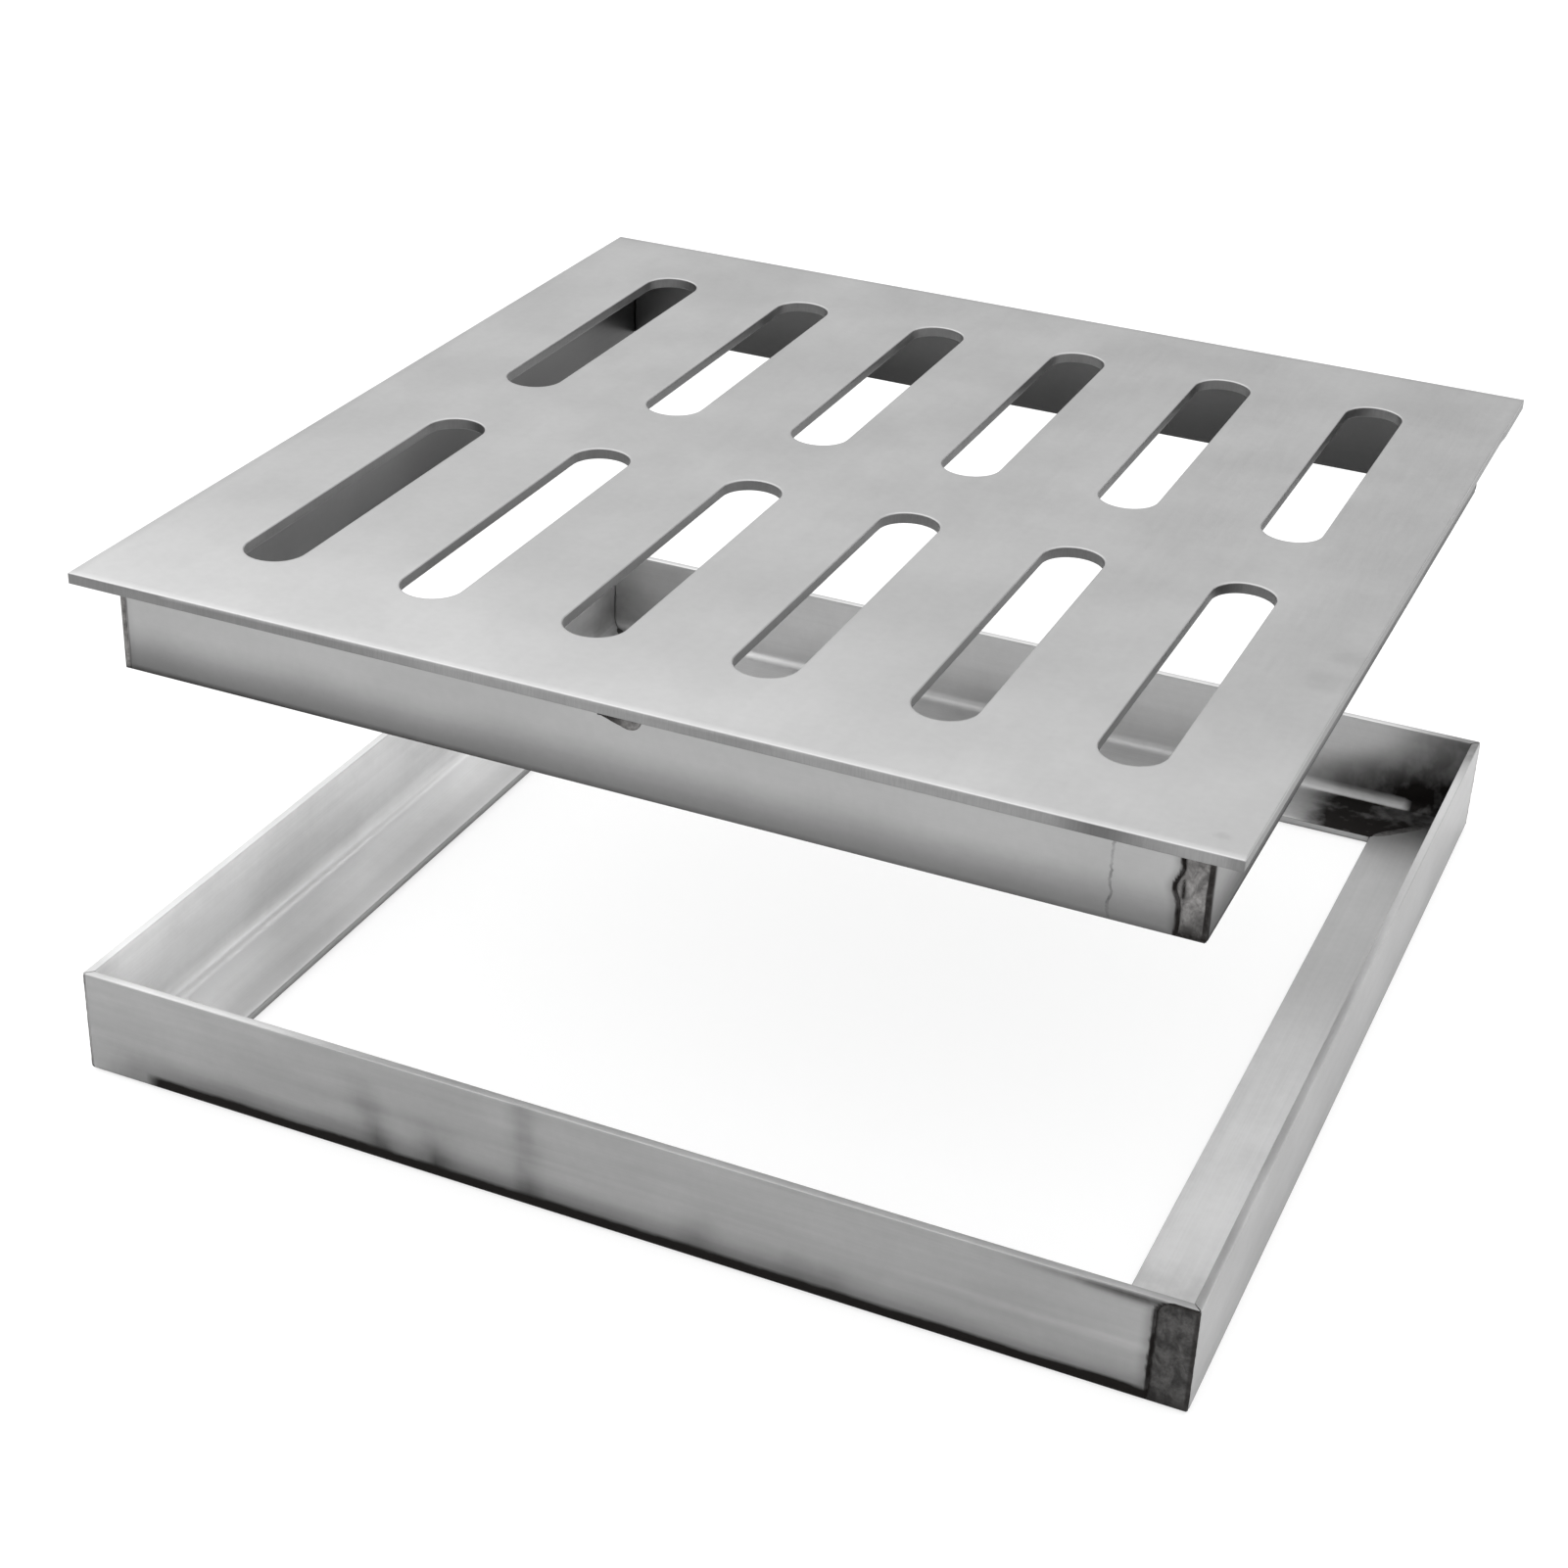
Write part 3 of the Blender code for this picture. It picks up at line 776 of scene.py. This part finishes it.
class PlateSurface:
    """The slotted plate: a ring of quads round each slot, a grid in the margins, rounded edges.

    Group 0 is the rolled face, 1 the sheared edge and 2 a slot's wall.
    """

    # How far along each ray, from slot to cell border, the ring's points lie
    RING = (0.0, 0.03, 0.1, 0.22, 0.4, 0.62, 0.82, 1.0)

    def __init__(self):
        self.points, self.faces, self.groups = [], [], []
        self.index = {}
        self.profile = edge_profile()
        for column in range(COLUMNS):
            for row in range(ROWS):
                x = (column - (COLUMNS - 1) / 2) * PITCH_X
                self.cell(x, (row - (ROWS - 1) / 2) * PITCH_Y)
        self.all_x = self.grid_lines(PITCH_X, CELLS_X, COLUMNS)
        self.all_y = self.grid_lines(PITCH_Y, CELLS_Y, ROWS)
        self.margins()
        for side in SIDES:
            self.outer_edge(side)

    def vertex(self, x, y, z):
        key = (round(x, 4), round(y, 4), round(z, 4))
        if key not in self.index:
            self.index[key] = len(self.points)
            self.points.append((x, y, z))
        return self.index[key]

    def quad(self, a, b, c, d, group):
        """Adds a face, or a triangle where two of the corners fall together."""
        corners = []
        for p in (a, b, c, d):
            v = self.vertex(*p)
            if v not in corners:
                corners.append(v)
        if len(corners) > 2:
            self.faces.append(tuple(corners))
            self.groups.append(group)

    def rays(self):
        """From each point of a cell's border: the point, the slot's nearest middle, and away."""
        step_x, step_y = PITCH_X / CELLS_X, PITCH_Y / CELLS_Y
        hx, hy = PITCH_X / 2, PITCH_Y / 2
        border = [(-hx + step_x * k, -hy) for k in range(CELLS_X)]
        border += [(hx, -hy + step_y * k) for k in range(CELLS_Y)]
        border += [(hx - step_x * k, hy) for k in range(CELLS_X)]
        border += [(-hx, hy - step_y * k) for k in range(CELLS_Y)]
        result = []
        for x, y in border:
            middle = max(-SLOT_REACH, min(SLOT_REACH, y))
            out = Vector((x, y - middle)).normalized()
            result.append((Vector((x, y)), Vector((0, middle)), out))
        return result

    def ring(self, cx, cy, r0, r1):
        """The quads between two rays, on the top face and on the bottom one."""
        for top in (True, False):
            z = PLATE_TOP if top else PLATE_BOTTOM
            for f0, f1 in zip(self.RING, self.RING[1:]):
                corners = []
                for ray, f in ((r0, f0), (r0, f1), (r1, f1), (r1, f0)):
                    near = ray[1] + ray[2] * (SLOT_RADIUS + PLATE_RIM)
                    spot = near.lerp(ray[0], f)
                    corners.append((cx + spot.x, cy + spot.y, z))
                if not top:
                    corners.reverse()
                self.quad(*corners, 0)

    def cell(self, cx, cy):
        """One slot with the plate round it."""
        rays = self.rays()
        for i, r0 in enumerate(rays):
            r1 = rays[(i + 1) % len(rays)]
            self.ring(cx, cy, r0, r1)
            for (b0, z0, group), (b1, z1, _) in zip(self.profile, self.profile[1:]):
                corners = []
                for ray, b, z in ((r0, b0, z0), (r1, b0, z0), (r1, b1, z1), (r0, b1, z1)):
                    spot = ray[1] + ray[2] * (SLOT_RADIUS + b)
                    corners.append((cx + spot.x, cy + spot.y, z))
                self.quad(*corners, 2 if group else 0)

    @staticmethod
    def grid_lines(pitch, cells, repeats):
        """The cells' lines across the slotted field, and further ones in the margins."""
        step = pitch / cells
        field = pitch * repeats / 2
        flat = PLATE_HALF - PLATE_RIM
        extra = [field + (flat - field) * k / MARGIN_CELLS for k in range(1, MARGIN_CELLS + 1)]
        inner = [-field + step * k for k in range(cells * repeats + 1)]
        return [-e for e in reversed(extra)] + inner + extra

    def margins(self):
        """The grid between the slotted field and the edge."""
        field_x, field_y = PITCH_X * COLUMNS / 2, PITCH_Y * ROWS / 2
        for x0, x1 in zip(self.all_x, self.all_x[1:]):
            for y0, y1 in zip(self.all_y, self.all_y[1:]):
                if abs(x0 + x1) / 2 < field_x and abs(y0 + y1) / 2 < field_y:
                    continue
                z = PLATE_TOP
                self.quad((x0, y0, z), (x1, y0, z), (x1, y1, z), (x0, y1, z), 0)
                z = PLATE_BOTTOM
                self.quad((x0, y0, z), (x0, y1, z), (x1, y1, z), (x1, y0, z), 0)

    @staticmethod
    def edge_point(side, t, back, z):
        """A point on the outer edge; the last ones of a side reach out to the corner."""
        flat = PLATE_HALF - PLATE_RIM
        reach = PLATE_HALF - back
        t = t * (reach / flat) if abs(abs(t) - flat) < 1e-6 else t
        return {
            "front": (t, -reach, z),
            "right": (reach, t, z),
            "back": (-t, reach, z),
            "left": (-reach, -t, z),
        }[side]

    def outer_edge(self, side):
        line = self.all_x if side in ("front", "back") else self.all_y
        for t0, t1 in zip(line, line[1:]):
            for (b0, z0, group), (b1, z1, _) in zip(self.profile, self.profile[1:]):
                self.quad(
                    self.edge_point(side, t0, b1, z1),
                    self.edge_point(side, t1, b1, z1),
                    self.edge_point(side, t1, b0, z0),
                    self.edge_point(side, t0, b0, z0),
                    group,
                )


def settle(points):
    """Lets the sheet dip a little, as cut and welded sheet does, and nicks its right edge."""
    moved = []
    for x, y, z in points:
        dip = 0.09 * (1 + rough_noise(x * 0.011, y * 0.011, 4.0, 2))
        nick = 0.35 * smooth(139, 145, x) * smooth(118, 116, y) if y < 118 else 0.0
        moved.append((x - nick, y, z - dip))
    return moved


def plate_paint(x, y, z):
    """The plate's tone: painted light towards the front left, darker along its front edge, and painted
    shade on its right edge.
    """
    if z > PLATE_TOP - 0.4:
        # painted light on the top towards the front left
        front = smooth(-75, -150, y) * (1 - 0.5 * smooth(-145, 145, x))
        return 0.20 * front
    if y < -PLATE_HALF + 0.5:
        darkening = 0.26 * (1 - smooth(-75, -40, x)) + 0.16 * bump(x, 25, 14) + 0.52 * bump(x, 114, 8)
        return -darkening - 0.3 * smooth(140, 144, x)
    # painted shade on the right edge
    if x > PLATE_HALF - 0.5:
        return -0.14
    return 0.0


def build_plate():
    # Scuffs on the top: x, y, z, reach and how much lighter or darker
    marks = (
        (138.0, -138.0, PLATE_TOP, 2.2, -0.10),
        (141.0, -44.0, PLATE_TOP, 6.0, -0.10),
        (139.0, -58.0, PLATE_TOP, 7.0, -0.08),
        (116.0, -20.0, PLATE_TOP, 12.0, 0.03),
        (-60.0, -137.0, PLATE_TOP, 14.0, -0.03),
    )
    face = steel(
        "plate_steel", 0.455, 0.37, 31.0, grain=(0.6, 12.0, 3.0), streak=0.006, cloud=0.03, marks=marks
    )
    rim = cut_edge("plate_sheared_edge", 0.33, 33.0)
    slot_wall = cut_edge("plate_cut_wall", 0.20, 35.0)
    surface = PlateSurface()
    points = settle(surface.points)
    masks = {"soot": [0.0] * len(points), "tone": [plate_paint(*spot) for spot in points]}
    piece = ("plate", points, surface.faces, [face, rim, slot_wall])
    make_piece(*piece, "grate", "plate_steel", ("grate_plate",), 0, masks, surface.groups)


BAR_PATCHES = (
    Patch((6.9, 0.7), BAR_BOTTOM + 0.1, BAR_TOP - 0.1, 53.0, crown=0.8, loop=1.5),
    Patch((1.0, 7.5), BAR_BOTTOM + 0.1, BAR_TOP - 0.1, 61.0, crown=0.8, burn=0.6),
    Patch((7.0, 1.0), BAR_BOTTOM + 0.1, BAR_TOP - 0.1, 67.0, crown=0.8, burn=0.6),
    Patch((7.0, 1.8), BAR_BOTTOM + 0.1, BAR_TOP - 0.1, 71.0, crown=0.8, burn=0.25),
)


def skirt_section():
    """The flat bar on edge, carried up to the plate to close the CAD's gap."""
    top = PLATE_BOTTOM + 0.1
    corners = [
        (0.0, top, BAR_EDGE),
        (0.0, BAR_BOTTOM, EDGE),
        (BAR_SHEET, BAR_BOTTOM, BAR_EDGE),
        (BAR_SHEET, top, BAR_EDGE),
    ]
    return rounded_section(corners, (0.75, 1.0, 1.1, 1.0))


def skirt_depth(side):
    """How wavy the bar is, with the recesses for its two corner welds."""
    right, left = BAR_PATCHES[side], BAR_PATCHES[side - 1]

    def depth(x, u, z, nu):
        wave = 0.04 * (1 + rough_noise(x * 0.014, u * 0.05 + side * 5.0, z * 0.05, 2))
        if nu < -0.6 and u < 1.0:
            wave += patch_depth(right, 0, BAR_HALF, x, z) + patch_depth(left, 1, BAR_HALF, -x, z)
        return wave

    return depth


def skirt_paint(side):
    """Gives the burn mask and tone at a point of this side's bar: burn round the welds, a dark line
    along the outer bottom edge, darker below, and painted shade inside.
    """
    right, left = BAR_PATCHES[side], BAR_PATCHES[side - 1]

    def paint(x, u, z, nu):
        soot = tone = 0.0
        height = z - BAR_BOTTOM
        if nu < -0.3 and u < 1.5:
            soot = max(
                patch_soot(right, 0, BAR_HALF, x, z, 0.8), patch_soot(left, 1, BAR_HALF, -x, z, 0.8)
            )
            fade = 1 - smooth(-130, 60, x)
            wander = rough_noise(x * 0.03, side * 3.0, 5.0, 2)
            soot = max(soot, (0.30 + 0.45 * fade) * (1 - smooth(0.4, 1.8, height)))
            tone -= (0.58 + 0.06 * fade) * (1 - smooth(0.0, 15 + 2 * wander, height))
            # painted shade on the right bar's outer face
            tone -= 0.40 if side == 1 else 0.0
        else:
            uneven = 0.03 * rough_noise(x * 0.03, side * 3.0, 1.0, 2)
            # painted shade inside, darker towards the bottom
            tone -= 0.84 - 0.12 * smooth(0, 22, height) + uneven
            # less painted shade inside the left bar towards its front end
            tone += 0.22 * smooth(-10, 50, x) if side == 3 else 0.0
        return min(1.0, soot), tone

    return paint


def bead(length, leg, seed, ripples):
    """A fillet bead along X in the corner between an upright face (y = 0) and a ceiling (z = 0)."""
    rows, columns = 56, 8
    points, faces = [], []
    for r in range(rows + 1):
        t = r / rows
        taper = max(0.05, (1 - abs(2 * t - 1) ** 4)) ** 0.5
        swell = 1 + 0.10 * rough_noise(t * 5, seed, 0, 2)
        scallop = 1 + 0.07 * abs(sin(t * pi * ripples))
        size = leg * taper * swell * scallop
        x = (t - 0.5) * length
        for c in range(columns + 1):
            a = c / columns * pi / 2
            bulge = 0.74 + 0.20 * abs(cos(2 * a)) ** 1.5
            shift = 0.35 * sin(2 * a) * leg * 0.4
            points.append((x + shift, size * bulge * cos(a) - 0.25, -(size * bulge * sin(a)) + 0.25))
        points.append((x, -0.25, 0.25))
    n = columns + 2
    for r in range(rows):
        for c in range(n):
            d = (c + 1) % n
            a, b = r * n + c, r * n + d
            faces.append((a, b, b + n, a + n))
    faces.append(tuple(reversed(range(n))))
    faces.append(tuple(rows * n + c for c in range(n)))
    return points, faces


def tack():
    """The droopy bead on the plate's front edge: thin and dark at left, a bulge at right."""
    left_end, length = -3.4, 10.6
    lowest, longest_hang = 0.72, 2.9
    rows, columns = 44, 20
    points, faces = [], []
    for r in range(rows + 1):
        t = r / rows
        x = left_end + length * t
        if t < lowest:
            hang = longest_hang * (t / lowest) ** 0.8
        else:
            hang = longest_hang * sqrt(max(0.0, 1 - ((t - lowest) / (1 - lowest)) ** 2))
        size = 0.32 + 0.90 * hang / longest_hang
        hang += 0.12 * rough_noise(t * 6, 3.0, 1.0, 2)
        for c in range(columns):
            a = c / columns * 2 * pi
            outward = copysign(abs(cos(a)) ** 0.6, cos(a))
            upward = copysign(abs(sin(a)) ** 0.6, sin(a))
            y = -PLATE_HALF + 0.15 + size * (1 + outward)
            z = PLATE_BOTTOM + 0.2 - 0.5 * max(0.6, hang) * (1 - upward)
            points.append((x, y, z))
    for r in range(rows):
        for c in range(columns):
            d = (c + 1) % columns
            a, b = r * columns + c, r * columns + d
            faces.append((a, a + columns, b + columns, b))
    faces.append(tuple(range(columns)))
    faces.append(tuple(rows * columns + c for c in reversed(range(columns))))
    soot = [0.8 * (1 - smooth(-0.5, 3.5, x)) + 0.1 for x, _, _ in points]
    return points, faces, {"soot": soot, "tone": [0.0] * len(points)}


def build_bars():
    """The skirt's four bars; the front one has a hairline mark."""
    section = skirt_section()
    ends = stations(12.0, 0.4, 2.4, BAR_HALF)
    for side, name in enumerate(SIDES):
        seams = ((115.5, 0.45, BAR_BOTTOM, BAR_TOP - 2, -0.5),) if side == 0 else ()
        metal = steel(f"skirt_steel_{name}", 0.45, 0.38, 50.0 + side * 2.9, streak=0.012, seams=seams)
        points, faces, masks = bar_mesh(section, BAR_HALF, ends, skirt_depth(side), skirt_paint(side))
        nodes = (f"skirt_{name}",)
        make_piece(f"bar_{name}", points, faces, [metal], "grate", "skirt_steel", nodes, side, masks)


def build_bar_welds(burnt, clean):
    """The skirt's corner welds; the front left corner is dressed rounder."""
    for number, name in enumerate(CORNERS):
        rounding = 1.1 if number == 3 else 0.5
        points, faces, masks = corner_weld(BAR_PATCHES[number], BAR_HALF, rounding, 1.0)
        piece = (f"bar_corner_weld_{name}", points, faces, [burnt if number == 0 else clean])
        make_piece(*piece, "grate", "weld_steel", (f"skirt_corner_weld_{name}",), number, masks)


def build_stitches():
    """Two short beads a side in the corner between the skirt and the plate."""
    metal = weld_metal("stitch_weld_metal", 0.22, 12.0)
    lift, back = PLATE_BOTTOM - 0.1, BAR_SHEET - BAR_HALF
    for side, name in enumerate(SIDES):
        for end, offset in enumerate((-STITCH_OFFSET, STITCH_OFFSET), start=1):
            points, faces = bead(STITCH_LENGTH, 3.2, side * 2.0 + end, 9)
            moved = [(x + offset, y + back, z + lift) for x, y, z in points]
            masks = {"soot": [0.15] * len(points), "tone": [0.0] * len(points)}
            piece = (f"stitch_{name}_{end}", moved, faces, [metal])
            make_piece(*piece, "grate", "weld_steel", (f"stitch_weld_{name}_{end}",), side, masks)


def build_skirt():
    burnt = weld_metal("skirt_weld_metal", 0.22, 8.0)
    clean = weld_metal("skirt_clean_weld_metal", 0.26, 9.0)
    build_bars()
    build_bar_welds(burnt, clean)
    build_stitches()
    points, faces, masks = tack()
    metal = weld_metal("tack_weld_metal", 0.20, 14.0)
    piece = ("tack_front", points, faces, [metal])
    make_piece(*piece, "grate", "weld_steel", ("front_tack_weld",), 0, masks)


# ---------------------------------------------------------------- studio


def stage_mesh(name, points, faces, material):
    mesh = bpy.data.meshes.new(name)
    mesh.from_pydata(points, [], faces)
    mesh.materials.append(material)
    item = bpy.data.objects.new(name, mesh)
    bpy.context.scene.collection.objects.link(item)
    return item


def plane(name, edges, height, material):
    x0, y0, x1, y1 = edges
    points = [(x0, y0, height), (x1, y0, height), (x1, y1, height), (x0, y1, height)]
    return stage_mesh(name, points, [(0, 1, 2, 3)], material)


def backdrop(name, radius, height, material):
    """A round white wall, open at the top, with the camera inside it."""
    count = 64
    turns = [2 * pi * k / count for k in range(count)]
    ring = [(radius * cos(a), radius * sin(a)) for a in turns]
    points = [(x, y, 0.0) for x, y in ring] + [(x, y, height) for x, y in ring]
    faces = []
    for k in range(count):
        after = (k + 1) % count
        faces.append((k, k + count, after + count, after))
    return stage_mesh(name, points, faces, material)


def matte(name, level, glow):
    """A dull grey of this level, with this much white glow."""
    material = bpy.data.materials.new(name)
    material.use_nodes = True
    shader = material.node_tree.nodes["Principled BSDF"]
    shader.inputs["Base Color"].default_value = (level, level, level, 1.0)
    shader.inputs["Roughness"].default_value = 0.9
    shader.inputs["Specular IOR Level"].default_value = 0.1
    shader.inputs["Emission Color"].default_value = (1.0, 1.0, 1.0, 1.0)
    shader.inputs["Emission Strength"].default_value = glow
    return material


def build_floor():
    """A white sweep that only the camera sees, over the grey table, the card and the paper.

    The steel mirrors the last three, which the camera doesn't see.
    """
    only_seen = [
        plane("floor", (-4, -4, 4, 4), -0.0002, matte("sweep_white", 0.34, 0.70)),
        backdrop("backdrop", 3.9, 4.0, matte("backdrop_white", 0.0, 1.0)),
    ]
    for item in only_seen:
        item.visible_diffuse = False
        item.visible_glossy = False
        item.visible_transmission = False
        item.visible_shadow = False
    only_mirrored = [
        plane("table", (-4, -4, 4, 4), -0.0004, matte("table_grey", 0.70, 0.0)),
        plane("card", (0.154, -0.16, 0.9, 1.2), -0.0003, matte("card_white", 0.8, 0.0)),
        plane("paper", (-0.124, -0.124, 0.124, 0.124), -0.0003, matte("paper_white", 0.9, 0.10)),
    ]
    for item in only_mirrored:
        item.visible_camera = False


def build_side_panel():
    """A soft panel of light to the right."""
    light = bpy.data.lights.new("side_panel", "AREA")
    light.shape = "RECTANGLE"
    light.size, light.size_y = 2.6, 0.9
    light.energy = 6.0
    panel = bpy.data.objects.new("side_panel", light)
    bpy.context.scene.collection.objects.link(panel)
    panel.location = (1.7, 0.3, 0.5)
    panel.rotation_euler = (Vector((0, 0, 0.1)) - panel.location).to_track_quat("-Z", "Y").to_euler()
    panel.visible_camera = False


def build_dome():
    """A white dome, brighter overhead than at the horizon and leaning a little to the left."""
    world = bpy.data.worlds.new("studio")
    bpy.context.scene.world = world
    world.use_nodes = True
    tree = world.node_tree
    background = tree.nodes["Background"]
    background.inputs["Color"].default_value = (1.0, 1.0, 1.0, 1.0)
    coords = tree.nodes.new("ShaderNodeTexCoord")
    lean = tree.nodes.new("ShaderNodeVectorMath")
    lean.operation = "DOT_PRODUCT"
    lean.inputs[1].default_value = Vector((-0.30, -0.05, 1.0))
    tree.links.new(coords.outputs["Generated"], lean.inputs[0])
    ramp = tree.nodes.new("ShaderNodeMapRange")
    ramp.interpolation_type = "SMOOTHSTEP"
    for socket, value in zip(ramp.inputs[1:5], (0.34, 0.82, 0.64, 1.80)):
        socket.default_value = value
    tree.links.new(lean.outputs["Value"], ramp.inputs["Value"])
    tree.links.new(ramp.outputs["Result"], background.inputs["Strength"])


def build_camera():
    """The camera at the photograph's viewing angle."""
    azimuth, elevation, roll = radians(22.87), radians(29.24), radians(2.37)
    data = bpy.data.cameras.new("camera")
    data.sensor_width = 36.0
    data.lens = 64.13
    data.clip_start, data.clip_end = 0.05, 50.0
    camera = bpy.data.objects.new("camera", data)
    bpy.context.scene.collection.objects.link(camera)
    flat = cos(elevation)
    ahead = Vector((-sin(azimuth) * flat, cos(azimuth) * flat, -sin(elevation)))
    level = ahead.to_track_quat("-Z", "Y").to_matrix().to_4x4()
    place = Matrix.Translation((0.2487, -0.6345, 0.4311))
    camera.matrix_world = place @ level @ Matrix.Rotation(roll, 4, "Z")
    bpy.context.scene.camera = camera
    bpy.context.scene.view_settings.view_transform = "Standard"


build_frame()
build_plate()
build_skirt()
build_floor()
build_side_panel()
build_dome()
build_camera()
